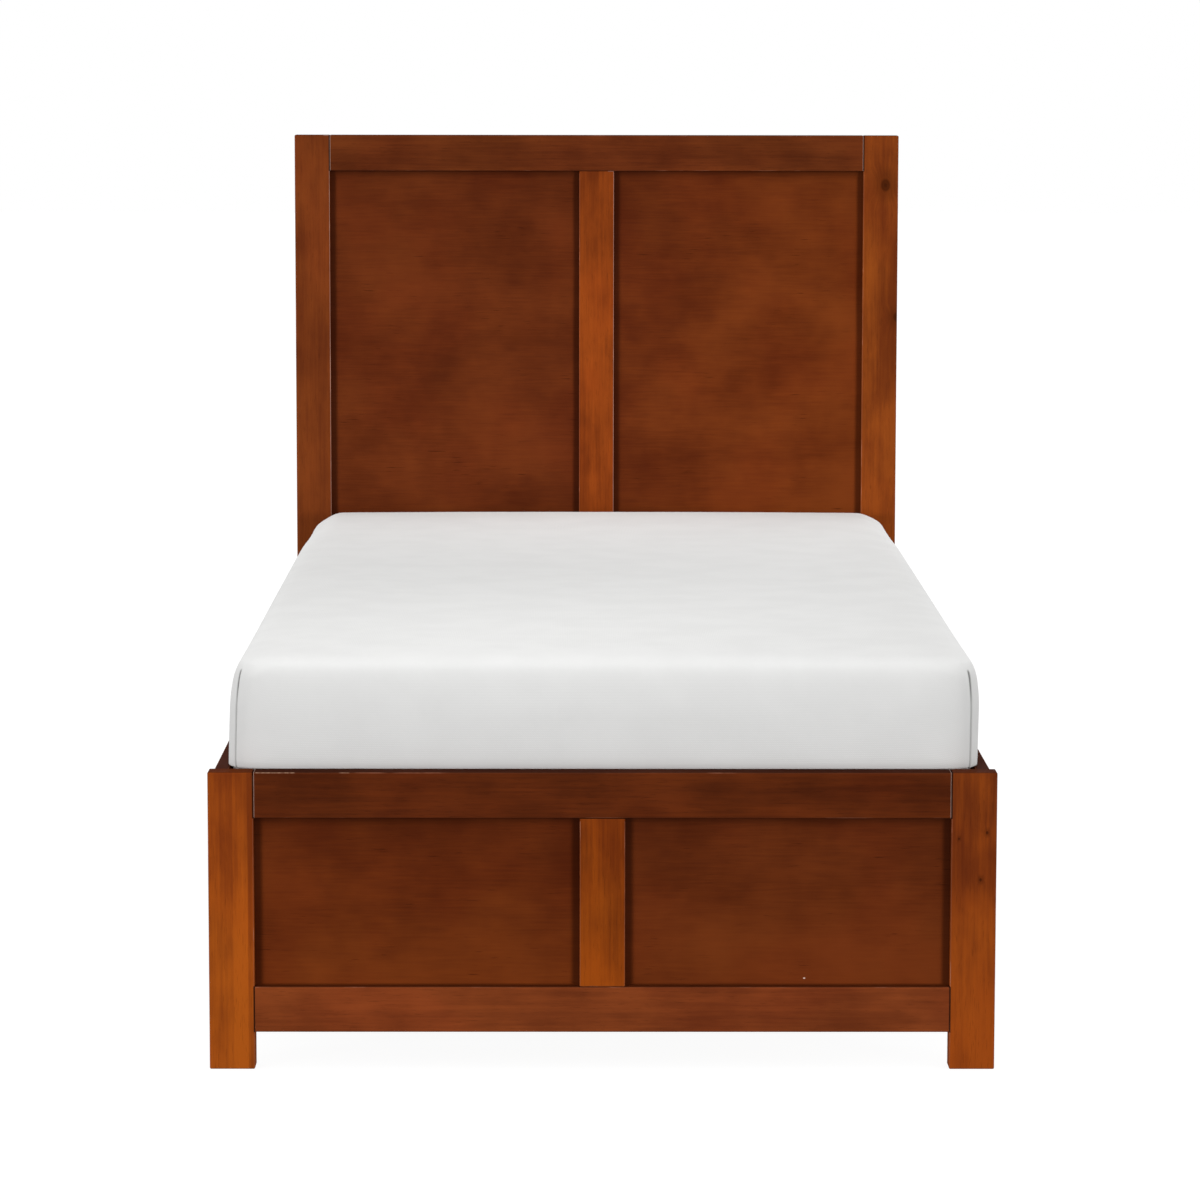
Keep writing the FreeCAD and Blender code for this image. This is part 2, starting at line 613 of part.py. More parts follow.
def corner_bracket(end, end_side, side_name, side):
    """A steel angle between the inside of a rail and the inside of a post."""
    corner = (span(side, f"({RAIL_INNER} - bracket_post_leg)", "bracket_post_leg"),
              span(end_side, f"({HALF_LENGTH} - bracket_rail_leg)", "bracket_rail_leg"), BRACKET_BOTTOM)
    size = ("bracket_post_leg", "bracket_rail_leg", "bracket_height")
    body = board(f"{end}_{side_name}_bracket", size, corner, False)
    waste = ("(bracket_post_leg - bracket_gauge)", "(bracket_rail_leg - bracket_gauge)", "bracket_height")
    waste_corner = ("0" if side > 0 else "bracket_gauge", "0" if end_side > 0 else "bracket_gauge", "0")
    block(body, "Subtractive", "waste", waste, waste_corner)
    from_rail = "(bracket_post_leg - bracket_bolt_inset)" if side > 0 else "bracket_bolt_inset"
    from_post = "(bracket_rail_leg - bracket_screw_inset)" if end_side > 0 else "bracket_screw_inset"
    for number, height in enumerate(BOLT_HEIGHTS, start=1):
        point = (from_rail, "0", f"({height} - {BRACKET_BOTTOM})")
        drill(body, f"bolt_hole_{number}", BOLT_HOLE, "bracket_rail_leg", point, "+y")
    for number, height in enumerate(SCREW_HEIGHTS, start=1):
        point = ("0", from_post, f"({height} - {BRACKET_BOTTOM})")
        drill(body, f"screw_hole_{number}", SCREW_HOLE, "bracket_post_leg", point, "+x")


CORNERS = [(end, end_side, side_name, side) for end, end_side in ENDS for side_name, side in SIDES]
for corner_names in CORNERS:
    corner_bracket(*corner_names)

bolt = new_body("bolt_master")
rod(bolt, "Additive", "shank", "bolt_diameter", "bolt_length", ORIGIN, "-z")
rod(bolt, "Additive", "head", "bolt_head_diameter", "bolt_head_height", ORIGIN, "+z")
socket = bolt.newObject("PartDesign::SubtractivePrism", "bolt_socket")
socket.Polygon = 6
bind(socket, "Circumradius", "bolt_socket_width / 2 / cos(30)")
bind(socket, "Height", "bolt_socket_depth")
place(socket, ("0", "0", "bolt_head_height - bolt_socket_depth"))

washer = new_body("washer_master")
rod(washer, "Additive", "disc", "washer_diameter", "washer_gauge", ORIGIN, "+z")
drill(washer, "bore", BOLT_HOLE, "washer_gauge", ORIGIN, "+z")

insert = new_body("insert_master")
rod(insert, "Additive", "barrel", "insert_diameter", "insert_length", ORIGIN, "-z")
drill(insert, "bore", "(bolt_diameter + hole_play)", "insert_length", ORIGIN, "-z")

dowel = new_body("dowel_master")
rod(dowel, "Additive", "pin", "dowel_diameter", "dowel_length", ("0", "0", "dowel_length / 2"), "-z")


def at_ends(x_text, heights, stand_off):
    """Points off the inner faces of both ends, left and right, with the direction into each."""
    along = f"({HALF_LENGTH} - {stand_off})"
    return [((signed(side, x_text), signed(end_side, along), height), towards(end_side, "y"))
            for _, end_side, _, side in CORNERS for height in heights]


copies("bracket_bolts", bolt, at_ends(BOLT_X, BOLT_HEIGHTS, "(bracket_gauge + washer_gauge)"))
copies("bracket_washers", washer, at_ends(BOLT_X, BOLT_HEIGHTS, "bracket_gauge"))
copies("post_inserts", insert, at_ends(BOLT_X, BOLT_HEIGHTS, "0"))
copies("rail_dowels", dowel, at_ends(DOWEL_X, DOWEL_HEIGHTS, "0"))


# Wood screws


def wood_screw(name, length):
    """A pan-head screw, its head resting on the XY plane and its point downwards."""
    body = new_body(name)
    rod(body, "Additive", "head", "screw_head_diameter", "screw_head_height", ORIGIN, "+z")
    rod(body, "Additive", "shank", "screw_diameter", f"({length} - screw_tip)", ORIGIN, "-z")
    tip = body.newObject("PartDesign::AdditiveCone", f"{name}_tip")
    bind(tip, "Radius1", "0")
    bind(tip, "Radius2", "screw_diameter / 2")
    bind(tip, "Height", "screw_tip")
    place(tip, ("0", "0", negate(length)))
    low = "(screw_head_height - screw_recess_depth)"
    for arm, (across, along) in (("slot", ("span", "width")), ("cross", ("width", "span"))):
        size = (f"screw_recess_{across}", f"screw_recess_{along}", "screw_recess_depth")
        corner = (f"-screw_recess_{across} / 2", f"-screw_recess_{along} / 2", low)
        block(body, "Subtractive", arm, size, corner)
    return body


short_screw = wood_screw("short_screw_master", "short_screw_length")
copies("bracket_screws", short_screw, [
    ((signed(side, f"({RAIL_INNER} - bracket_gauge)"),
      signed(end_side, f"({HALF_LENGTH} - bracket_screw_inset)"), height), towards(side, "x"))
    for _, end_side, _, side in CORNERS for height in SCREW_HEIGHTS])
copies("hanger_screws", short_screw, at_ends(HANGER_SCREW_X, HANGER_SCREW_HEIGHTS, "hanger_gauge"))

cleat_screw = wood_screw("cleat_screw_master", "(cleat_screw_length - screw_head_height)")
copies("cleat_screws", cleat_screw, [
    ((signed(side, f"({RAIL_INNER} - cleat_width + screw_head_height)"), along, CLEAT_CENTRE),
     towards(side, "x"))
    for _, side in SIDES for along in cleat_screw_places()])

slat_screw = wood_screw("slat_screw_master", "(slat_screw_length - screw_head_height)")
copies("slat_screws", slat_screw, [
    ((signed(side, CLEAT_MIDDLE), signed(end_side, SLAT_REACH), f"({DECK_TOP} - screw_head_height)"), "-z")
    for _, end_side, _, side in CORNERS])


# Mattress


def rounded(body, base, name, chosen, radius):
    """Round the edges that a function chooses on the shape as it stands."""
    doc.recompute()
    edges = chosen(base.Shape)
    feature = body.newObject("PartDesign::Fillet", f"mattress_{name}")
    feature.Base = (base, [f"Edge{number}" for number, edge in enumerate(base.Shape.Edges, start=1)
                           if any(edge.isSame(one) for one in edges)])
    bind(feature, "Radius", radius)
    return feature


def middle_height(face):
    return face.BoundBox.Center.z


def upright_edges(shape):
    return [edge for edge in shape.Edges if edge.BoundBox.ZLength > edge.BoundBox.DiagonalLength / 2]


def top_edges(shape):
    return max(shape.Faces, key=middle_height).Edges


def base_edges(shape):
    return min(shape.Faces, key=middle_height).Edges


def waist_edges(shape):
    """The level edges between the base and the top."""
    box = shape.BoundBox
    heights = [(edge, edge.BoundBox.ZMin, edge.BoundBox.ZMax) for edge in shape.Edges]
    return [edge for edge, low, high in heights if low > box.ZMin + 1 and high < box.ZMax - 1 and high - low < 1]


def mattress():
    """A padded slab with rounded corners, walls that lean in a little above, and a rolled upper edge."""
    lowest = f"({STRAP_TOP} + staple_gauge + mattress_rest_gap)"
    body = keep("mattress", (negate("mattress_width / 2"), negate("mattress_length / 2"), lowest))
    outline = sketch_on(body, "XY_Plane", "mattress_outline")
    rectangle(outline, "mattress_width", "mattress_length")
    slab = body.newObject("PartDesign::Pad", "mattress_slab")
    slab.Profile = outline
    bind(slab, "Length", "(mattress_thickness - mattress_lean_height)")
    corners_done = rounded(body, slab, "corners", upright_edges, "mattress_corner_radius")
    doc.recompute()
    faces = list(enumerate(corners_done.Shape.Faces, start=1))
    number, _ = max(faces, key=lambda face: middle_height(face[1]))
    upper = body.newObject("PartDesign::Pad", "mattress_upper")
    upper.Profile = (corners_done, [f"Face{number}"])
    bind(upper, "Length", "mattress_lean_height")
    bind(upper, "TaperAngle", "-atan(mattress_lean / mattress_lean_height)")
    waist_done = rounded(body, upper, "waist", waist_edges, "mattress_waist_radius")
    top_done = rounded(body, waist_done, "top", top_edges, "mattress_top_radius")
    rounded(body, top_done, "base", base_edges, "mattress_base_radius")


mattress()


# Test every object, then write one file for each node

doc.recompute()
failed = [thing.Label for thing in doc.Objects if {"Invalid", "Error"} & set(thing.State)]
failed += [node.Label for node in nodes if node.Shape.isNull() or not node.Shape.isValid()]
if failed:
    raise RuntimeError("failed to build: " + ", ".join(failed))
os.makedirs("parts", exist_ok=True)
for node in nodes:
    node.Shape.exportStep(f"parts/{node.Label}.step")
print(len(nodes), "nodes")
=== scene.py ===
"""Finishes, soft pieces, light and camera for a twin platform bed with a panelled head and foot."""

import math

import bpy
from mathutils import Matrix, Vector


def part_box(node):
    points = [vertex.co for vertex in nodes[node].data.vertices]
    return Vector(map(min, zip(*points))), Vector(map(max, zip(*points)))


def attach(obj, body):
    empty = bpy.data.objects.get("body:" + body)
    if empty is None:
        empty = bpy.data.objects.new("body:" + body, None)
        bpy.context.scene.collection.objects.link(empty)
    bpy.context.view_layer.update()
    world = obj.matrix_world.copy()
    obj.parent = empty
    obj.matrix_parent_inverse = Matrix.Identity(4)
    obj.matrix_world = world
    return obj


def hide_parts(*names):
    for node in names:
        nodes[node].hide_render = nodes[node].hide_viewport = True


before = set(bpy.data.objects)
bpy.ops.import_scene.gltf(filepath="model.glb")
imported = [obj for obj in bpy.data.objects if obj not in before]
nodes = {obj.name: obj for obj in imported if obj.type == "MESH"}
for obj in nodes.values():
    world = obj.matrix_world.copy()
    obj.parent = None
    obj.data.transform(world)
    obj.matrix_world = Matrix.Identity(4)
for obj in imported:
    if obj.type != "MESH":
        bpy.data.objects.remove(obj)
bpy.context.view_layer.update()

# Shader values and node trees


class Value:
    """A value that changes over a surface. Arithmetic with it adds Math nodes to its tree."""

    def __init__(self, tree, socket):
        self.tree = tree
        self.socket = socket

    def math(self, operation, *inputs):
        return self.tree.node("ShaderNodeMath", {"operation": operation}, dict(enumerate(inputs)))

    def __add__(self, other):
        return self.math("ADD", self, other)

    def __sub__(self, other):
        return self.math("SUBTRACT", self, other)

    def __rsub__(self, other):
        return self.math("SUBTRACT", other, self)

    def __mul__(self, other):
        return self.math("MULTIPLY", self, other)

    __rmul__ = __mul__

    def __truediv__(self, other):
        return self.math("DIVIDE", self, other)

    def __pow__(self, other):
        return self.math("POWER", self, other)

    def __abs__(self):
        return self.math("ABSOLUTE", self)

    def least(self, other):
        return self.math("MINIMUM", self, other)

    def most(self, other):
        return self.math("MAXIMUM", self, other)

    def floor(self):
        return self.math("FLOOR", self)

    def sine(self):
        return self.math("SINE", self)

    def rise(self, low, high):
        """Goes smoothly from 0 at low to 1 at high."""
        sockets = {"Value": self, "From Min": low, "From Max": high}
        return self.tree.node("ShaderNodeMapRange", {"interpolation_type": "SMOOTHSTEP"}, sockets)

    def fall(self, low, high):
        """Goes smoothly from 1 at low to 0 at high."""
        return 1 - self.rise(low, high)


class Tree:
    """A node tree, with one method that adds any node."""

    def __init__(self, tree):
        self.tree = tree

    def node(self, kind, settings=None, sockets=None, output=0):
        made = self.tree.nodes.new(kind)
        for name, value in (settings or {}).items():
            setattr(made, name, value)
        for name, value in (sockets or {}).items():
            self.feed(made.inputs[name], value)
        return Value(self, made.outputs[output])

    def feed(self, socket, value):
        if isinstance(value, Value):
            self.tree.links.new(value.socket, socket)
        else:
            socket.default_value = value

    def seen(self):
        """1 for the rays that show the background: to the camera, in gloss and through glass."""
        shown = ("Is Camera Ray", "Is Glossy Ray", "Is Transmission Ray")
        camera, gloss, glass = (self.node("ShaderNodeLightPath", output=name) for name in shown)
        return camera.most(gloss).most(glass)


class Finish(Tree):
    """A material in the making: one Principled surface and the patterns that feed it."""

    def __init__(self, name, **constants):
        self.material = bpy.data.materials.new(name)
        self.material.use_nodes = True
        super().__init__(self.material.node_tree)
        self.surface = self.tree.nodes["Principled BSDF"]
        for socket, value in constants.items():
            self.surface.inputs[socket.replace("_", " ")].default_value = value

    def place(self):
        """The point on the piece, as x, y and z in metres."""
        point = self.node("ShaderNodeTexCoord", output="Object")
        return [self.node("ShaderNodeSeparateXYZ", None, {"Vector": point}, axis) for axis in "XYZ"]

    def vector(self, x, y, z):
        return self.node("ShaderNodeCombineXYZ", None, {"X": x, "Y": y, "Z": z})

    def noise(self, vector, scale, detail=2.0, roughness=0.5):
        sockets = {"Vector": vector, "Scale": scale, "Detail": detail, "Roughness": roughness}
        return self.node("ShaderNodeTexNoise", None, sockets)

    def mix(self, share, first, second, blend="MIX"):
        """A colour between two colours, or the first colour tinted by the second."""
        settings = {"data_type": "RGBA", "blend_type": blend}
        return self.node("ShaderNodeMix", settings, {0: share, 6: first, 7: second}, 2)

    def bump(self, height, distance, strength=1.0):
        sockets = {"Height": height, "Distance": distance, "Strength": strength}
        return self.node("ShaderNodeBump", None, sockets)

    def paint(self, **sockets):
        for name, value in sockets.items():
            self.feed(self.surface.inputs[name.replace("_", " ")], value)
        return self.material


def colour(red, green, blue):
    """A colour given as it looks on a screen, 0 to 255, as Blender's linear colour."""
    def linear(part):
        part = part / 255
        return part / 12.92 if part <= 0.04045 else ((part + 0.055) / 1.055) ** 2.4
    return (linear(red), linear(green), linear(blue), 1.0)


# Stained timber

GRAIN_ORDER = {"x": (0, 2, 1), "y": (1, 2, 0), "z": (2, 0, 1)}
SEED_STEP = 3.7
EASED_EDGE = 0.002
WORN_AND_HIGHLIT = colour(196, 132, 104)
JOINT_GLAZE_AND_SHADE = colour(26, 10, 7)
RUDDY = (1.04, 0.84, 0.94, 1.0)
ARRIS_HIGHLIGHT = colour(212, 186, 174)
CHIP = colour(222, 180, 148)
NICK = colour(232, 206, 190)
HIGHLIT_ARRIS = ("headboard_left_post", "headboard_centre_stile")


def visible_box(node):
    """The corners of what shows of a framed piece: its own box without the tongues in the grooves."""
    low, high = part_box(node)
    end = node.split("_")[0]
    if node.endswith(("top_rail", "bottom_rail")):
        low.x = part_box(f"{end}_left_post")[1].x
        high.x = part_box(f"{end}_right_post")[0].x
    if node.endswith(("stile", "panel")):
        low.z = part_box(f"{end}_bottom_rail")[1].z
        high.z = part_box(f"{end}_top_rail")[0].z
    if node.endswith("left_panel"):
        low.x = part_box(f"{end}_left_post")[1].x
        high.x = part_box(f"{end}_centre_stile")[0].x
    if node.endswith("right_panel"):
        low.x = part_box(f"{end}_centre_stile")[1].x
        high.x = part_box(f"{end}_right_post")[0].x
    return low, high


def to_faces(point, box):
    """Distances from a point inside a box to its nearest faces along x, y and z."""
    low, high = box
    middle = (low + high) / 2
    half = (high - low) / 2
    return [half[axis] - abs(point[axis] - middle[axis]) for axis in range(3)]


def shaded(stain, share):
    """A darker version of a stain."""
    return tuple(part * share for part in stain[:3]) + (1.0,)


def drifted_by_light(node, tone, point):
    """A stain's tone with painted light and shade: it drifts evenly over the pieces that have a drift of
    their own.
    """
    if node not in LIGHT_DRIFTS:
        return tone
    sideways, downwards, level = LIGHT_DRIFTS[node]
    low, high = visible_box(node)
    return tone + (point[0] - (low.x + high.x) / 2) * sideways + (level - point[2]) * downwards


def knot_marks(along, across, knots):
    """How dark the knots make a place, and the grain's way across as it bends round them."""
    dark = 0.0
    for knot_along, knot_across, size in knots:
        reach_along = (along - knot_along) / (1.35 * size)
        reach_across = (across - knot_across) / size
        reach = (reach_along * reach_along + reach_across * reach_across) ** 0.5
        across = across + (across - knot_across) * reach.fall(0.4, 2.6) * 0.8
        ring = reach.fall(0.25, 1.05) * ((reach * 17).sine() * 0.07 + 0.84)
        dark = ring.most(reach.fall(0.7, 2.2) * 0.32).most(dark)
    return dark, across


def joint_marks(node, grain, point, gaps):
    """How dark a place is where a framed piece meets its neighbour."""
    if not node.endswith("post"):
        return gaps["xyz".index(grain)].fall(0.0002, 0.0009)
    low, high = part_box(node)
    inner = high.x - point[0] if "left" in node else point[0] - low.x
    end = node.split("_")[0]
    met = 0.0
    for rail in (f"{end}_top_rail", f"{end}_bottom_rail"):
        bottom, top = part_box(rail)
        met = point[2].rise(bottom.z - 0.001, bottom.z) * point[2].fall(top.z, top.z + 0.001) + met
    return inner.fall(0.0008, 0.0021) * met


def stained_timber(name, grain, deep, pale, seed, node, knots=(), strips=(), chips=()):
    """Cherry stain on close-grained timber: clouded colour, faint streaks, fine grain, arrises pale with wear
    and a painted highlight, and painted shade on level tops and in joints.
    """
    finish = Finish(name, Specular_IOR_Level=0.0, Coat_Roughness=0.28)
    point = finish.place()
    along, across, depth = (point[axis] for axis in GRAIN_ORDER[grain])
    shift = seed * SEED_STEP
    knot, across = knot_marks(along, across, knots)
    cloud = finish.noise(finish.vector(along * 0.62 + shift, across + shift, depth), 10.0, 3.0, 0.5)
    blot = finish.noise(finish.vector(along * 0.7, across * 1.3 + shift, depth), 34.0, 2.0)
    hue = finish.noise(finish.vector(along * 0.7 + 2 * shift, across + shift, depth), 8.0, 2.0)
    streak = finish.noise(finish.vector(along * 1.3 + shift, across * 42 + shift, depth * 42), 1.0, 4.0, 0.6)
    line = finish.noise(finish.vector(along * 11 + shift, across * 270, depth * 270), 1.0, 2.0, 0.55)
    fleck = finish.noise(finish.vector(along * 55 + shift, across * 900, depth * 900), 1.0, 1.0)
    fleck = fleck.rise(0.62, 0.74)
    tone = cloud * 1.35 + blot * 0.4 + streak * 0.75 + line * 0.5 + (0.5 - 0.675 - 0.2 - 0.375 - 0.25)
    tone = drifted_by_light(node, tone, point)
    for edge_low, edge_high, lift in strips:
        inside = across.rise(edge_low - 0.0006, edge_low) * across.fall(edge_high, edge_high + 0.0006)
        tone = tone + inside * lift
    stain = finish.mix(tone.rise(0.0, 1.0), deep, pale)
    stain = finish.mix(hue.rise(0.4, 0.66) * 0.3, stain, RUDDY, "MULTIPLY")
    stain = finish.mix(fleck * 0.3, stain, shaded(deep, 0.45))
    box = visible_box(node)
    if knots:
        stain = finish.mix(knot * (point[1] - box[0].y).fall(0.005, 0.013), stain, shaded(deep, 0.28))
    gaps = to_faces(point, box)
    first, second, third = gaps
    arris = first.least(second).most(first.most(second).least(third))
    rub = finish.noise(finish.vector(along * 16 + shift, across * 60, depth * 60), 1.0, 3.0, 0.6)
    edge = arris.fall(0.25 * EASED_EDGE, 0.8 * EASED_EDGE)
    if grain == "z":
        edge = edge * (box[1].z - point[2]).rise(0.003, 0.005)
    steady_share, patchy_share = (0.05, 0.3) if grain == "x" else (0.22, 0.6)
    # Painted shade: the level top faces are darkened towards a deep copy of the stain.
    level = (box[1].z - point[2]).fall(0.0002, 0.0014)
    stain = finish.mix(level * 0.75, stain, shaded(deep, 0.3))
    # Painted highlight and wear: a pale line along the eased arrises, steady in part and patchy with the rub
    # noise, stands in for the light the arrises catch as well as rubbed stain.
    stain = finish.mix(edge * (rub.rise(0.55, 0.68) * patchy_share + steady_share), stain, WORN_AND_HIGHLIT)
    # Painted highlight: a pale line on the right-facing arrises of these pieces, where the light catches
    # them.
    if node in HIGHLIT_ARRIS:
        right = (box[1].x - point[0]).fall(0.01, 0.011)
        sharp = arris.fall(0.2 * EASED_EDGE, 0.6 * EASED_EDGE)
        stain = finish.mix(sharp * right * (rub.rise(0.3, 0.6) * 0.3 + 0.4), stain, ARRIS_HIGHLIGHT)
    if chips:
        front_top = (box[1].z - point[2] + second).fall(0.0009, 0.0017)
        flake = finish.noise(finish.vector(along * 140 + shift, 0.0, 0.0), 1.0, 2.0).rise(0.36, 0.62)
    for start, end, share in chips:
        chip = point[0].rise(start, start + 0.003) * point[0].fall(end - 0.003, end) * front_top
        stain = finish.mix(chip * (flake * 0.8 + 0.2) * share, stain, CHIP)
    # Painted highlight: a pale line along each end of the top rail, beside its joint with the post.
    if node.endswith("top_rail"):
        end_highlight = first.rise(0.0007, 0.001) * first.fall(0.0012, 0.0017)
        stain = finish.mix(end_highlight * 0.55, stain, ARRIS_HIGHLIGHT)
    # Painted shade with glaze: a dark line where the piece meets its neighbour, standing in for the shade in
    # the joint's gap.
    stain = finish.mix(joint_marks(node, grain, point, gaps) * 0.85, stain, JOINT_GLAZE_AND_SHADE)
    height = line * 0.6 + streak * 0.3 - fleck * 0.5
    return finish.paint(
        Base_Color=stain, Roughness=line * 0.12 + cloud * 0.1 + 0.4, Coat_Weight=cloud * 0.08,
        Normal=finish.bump(height, 0.0002, 0.5))


def stained_panel(name, deep, pale, seed, node, nicks=()):
    """The same stain on a veneered panel: level grain, cloudier colour, and glaze with painted shade along
    its borders.
    """
    finish = Finish(name, Specular_IOR_Level=0.0, Coat_Roughness=0.28)
    point = finish.place()
    x, y, z = point
    shift = seed * SEED_STEP
    cloud = finish.noise(finish.vector(x * 0.85 + shift, y, z + shift), 8.5, 3.0, 0.5)
    blot = finish.noise(finish.vector(x + shift, y, z * 1.3), 26.0, 2.0)
    hue = finish.noise(finish.vector(x + 2 * shift, y, z + shift), 7.0, 2.0)
    streak = finish.noise(finish.vector(x * 2.2 + shift, y, z * 36 + shift), 1.0, 4.0, 0.6)
    line = finish.noise(finish.vector(x * 16 + shift, y, z * 300), 1.0, 2.0, 0.6)
    dash = finish.noise(finish.vector(x * 26 + shift, y, z * 420 + shift), 1.0, 2.0).rise(0.62, 0.74)
    dash = dash * finish.noise(finish.vector(x + shift, y, z * 2), 11.0, 2.0).rise(0.46, 0.62)
    tone = cloud * 1.05 + blot * 0.3 + streak * 0.28 + line * 0.4 + (0.5 - 0.525 - 0.15 - 0.14 - 0.2)
    stain = finish.mix(drifted_by_light(node, tone, point).rise(0.0, 1.0), deep, pale)
    stain = finish.mix(hue.rise(0.4, 0.66) * 0.3, stain, RUDDY, "MULTIPLY")
    glaze_and_shade = shaded(deep, 0.34)
    stain = finish.mix(dash * 0.6, stain, glaze_and_shade)
    low, high = visible_box(node)
    gap_x = to_faces(point, (low, high))[0]
    waver = (finish.noise(finish.vector(x * 8, y, z * 8 + shift), 1.0) - 0.5) * 0.003
    # Painted shade with glaze: dark bands along the panel's sides, top and bottom, where the frame's recess
    # shades it.
    border_shade = (gap_x + waver).fall(0.0065, 0.0125) * 0.62
    border_shade = border_shade.most((z - low.z).fall(0.0005, 0.0035) * 0.6)
    border_shade = border_shade.most((high.z - z + 2 * waver).fall(0.001, 0.015) * 0.42)
    stain = finish.mix(border_shade, stain, glaze_and_shade)
    for nick_x, nick_z, size in nicks:
        aside, above = (x - nick_x) / (1.5 * size), (z - nick_z) / size
        nick = (aside * aside + above * above).fall(0.5, 1.0)
        stain = finish.mix(nick, stain, NICK)
    height = line * 0.6 - dash * 0.5
    return finish.paint(
        Base_Color=stain, Roughness=line * 0.1 + cloud * 0.12 + 0.4, Coat_Weight=cloud * 0.08,
        Normal=finish.bump(height, 0.0002, 0.5))


# Each stained piece: the way its grain runs, and the darkest and palest colours of its stain
RAIL_DEEP, RAIL_PALE = colour(84, 34, 14), colour(118, 53, 22)
STAINED = {
    "headboard_left_post": ("z", colour(97, 43, 19), colour(133, 65, 26)),
    "headboard_right_post": ("z", colour(110, 49, 19), colour(158, 79, 26)),
    "headboard_centre_stile": ("z", colour(108, 46, 16), colour(159, 74, 23)),
    "headboard_top_rail": ("x", colour(84, 37, 16), colour(118, 57, 24)),
    "headboard_bottom_rail": ("x", RAIL_DEEP, RAIL_PALE),
    "footboard_left_post": ("z", colour(127, 57, 20), colour(184, 92, 25)),
    "footboard_right_post": ("z", colour(107, 46, 18), colour(165, 79, 23)),
    "footboard_centre_stile": ("z", colour(111, 48, 15), colour(168, 81, 19)),
    "footboard_top_rail": ("x", colour(74, 31, 13), colour(111, 50, 19)),
    "footboard_bottom_rail": ("x", colour(109, 50, 24), colour(150, 74, 35)),
    "left_side_rail": ("y", RAIL_DEEP, RAIL_PALE),
    "right_side_rail": ("y", RAIL_DEEP, RAIL_PALE),
}
PANELS = {
    "headboard_left_panel": (colour(79, 32, 14), colour(118, 55, 22)),
    "headboard_right_panel": (colour(86, 35, 14), colour(127, 60, 22)),
    "footboard_left_panel": (colour(85, 35, 14), colour(127, 59, 21)),
    "footboard_right_panel": (colour(81, 33, 13), colour(122, 57, 22)),
}

# Painted light and shade, as the tone's drift over a piece: per metre to the right, per metre downwards, and
# from which height
LIGHT_DRIFTS = {
    "footboard_left_post": (0.0, 1.2, 0.2),
    "footboard_right_post": (0.0, 2.1, 0.2),
    "footboard_centre_stile": (0.0, 2.0, 0.22),
    "footboard_left_panel": (0.0, 1.3, 0.22),
    "footboard_right_panel": (0.0, 1.8, 0.22),
    "footboard_bottom_rail": (-0.36, 0.0, 0.08),
    "headboard_right_panel": (1.0, 0.3, 0.85),
    "headboard_centre_stile": (0.0, 0.5, 0.85),
    "headboard_right_post": (0.0, 0.25, 0.85),
}

# Knots, as height, place across and size, and the glued strips of the front left post with their tone
KNOTS = {
    "headboard_right_post": ((1.109, 0.498, 0.014), (0.882, 0.519, 0.01)),
    "footboard_right_post": ((0.318, 0.507, 0.003), (0.31, 0.47, 0.002), (0.255, 0.499, 0.003)),
}
NICKS = {"footboard_right_panel": ((0.2677, 0.1205, 0.0011),)}
STRIPS = {"footboard_left_post": ((-0.487, -0.468, 0.23), (-0.468, -0.46, -0.13), (-0.521, -0.487, 0.02))}

# Stretches of a rail's front arris where the stain is chipped off, and how bare they are
CHIPS = {"footboard_top_rail": ((-0.458, -0.404, 0.6), (-0.418, -0.404, 0.3), (-0.348, -0.332, 0.35))}


def dress(node, material):
    """Give a CAD node's surfaces one material."""
    slots = nodes[node].data.materials
    slots.clear()
    slots.append(material)


for seed, (node, (grain, deep, pale)) in enumerate(STAINED.items(), start=1):
    dress(node, stained_timber(f"stain_{node}", grain, deep, pale, seed, node,
                               KNOTS.get(node, ()), STRIPS.get(node, ()), CHIPS.get(node, ())))
for seed, (node, (deep, pale)) in enumerate(PANELS.items(), start=1):
    dress(node, stained_panel(f"stain_{node}", deep, pale, seed, node, NICKS.get(node, ())))


# Unfinished timber


def bare_timber(name, grain, deep, pale, board_step=None):
    """Planed softwood with its rings, pores and, on boards cut one by one, a tone for each board."""
    finish = Finish(name, Specular_IOR_Level=0.25)
    point = finish.place()
    along, across, depth = (point[axis] for axis in GRAIN_ORDER[grain])
    board = (point[1] / board_step).floor() * 0.37 if board_step else 0.0
    ring_place = finish.vector(along * 1.5 + board, across * 95, depth * 95 + board)
    ring = finish.noise(ring_place, 1.0, 5.0, 0.62)
    line = finish.noise(finish.vector(along * 14, across * 420, depth * 420), 1.0, 2.0)
    cloud = finish.noise(finish.vector(along * 2 + board, across * 5, depth * 5 + board), 2.0, 2.0)
    tone = ring * 1.5 + line * 0.5 + cloud * 0.9 - 0.95
    stain = finish.mix(tone.rise(0.0, 1.0), deep, pale)
    return finish.paint(Base_Color=stain, Roughness=line * 0.2 + 0.52,
                        Normal=finish.bump(ring * 0.5 + line, 0.00025, 0.5))


slats = sorted(node for node in nodes if node.startswith(("slat_0", "slat_1")))
slat_step = (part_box(slats[-1])[0].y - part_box(slats[0])[0].y) / (len(slats) - 1)
slat_timber = bare_timber("planed_slat", "x", colour(190, 146, 92), colour(226, 190, 138), slat_step)
long_timber = bare_timber("planed_support", "y", colour(168, 122, 74), colour(206, 164, 112))
leg_timber = bare_timber("planed_leg", "z", colour(168, 122, 74), colour(206, 164, 112))
dowel_timber = bare_timber("turned_dowel", "y", colour(186, 142, 92), colour(216, 178, 130))
for node in slats:
    dress(node, slat_timber)
for node in ("left_slat_cleat", "right_slat_cleat", "centre_beam"):
    dress(node, long_timber)
for node in ("front_centre_leg", "rear_centre_leg"):
    dress(node, leg_timber)
dress("rail_dowels", dowel_timber)


# Metal and plastic


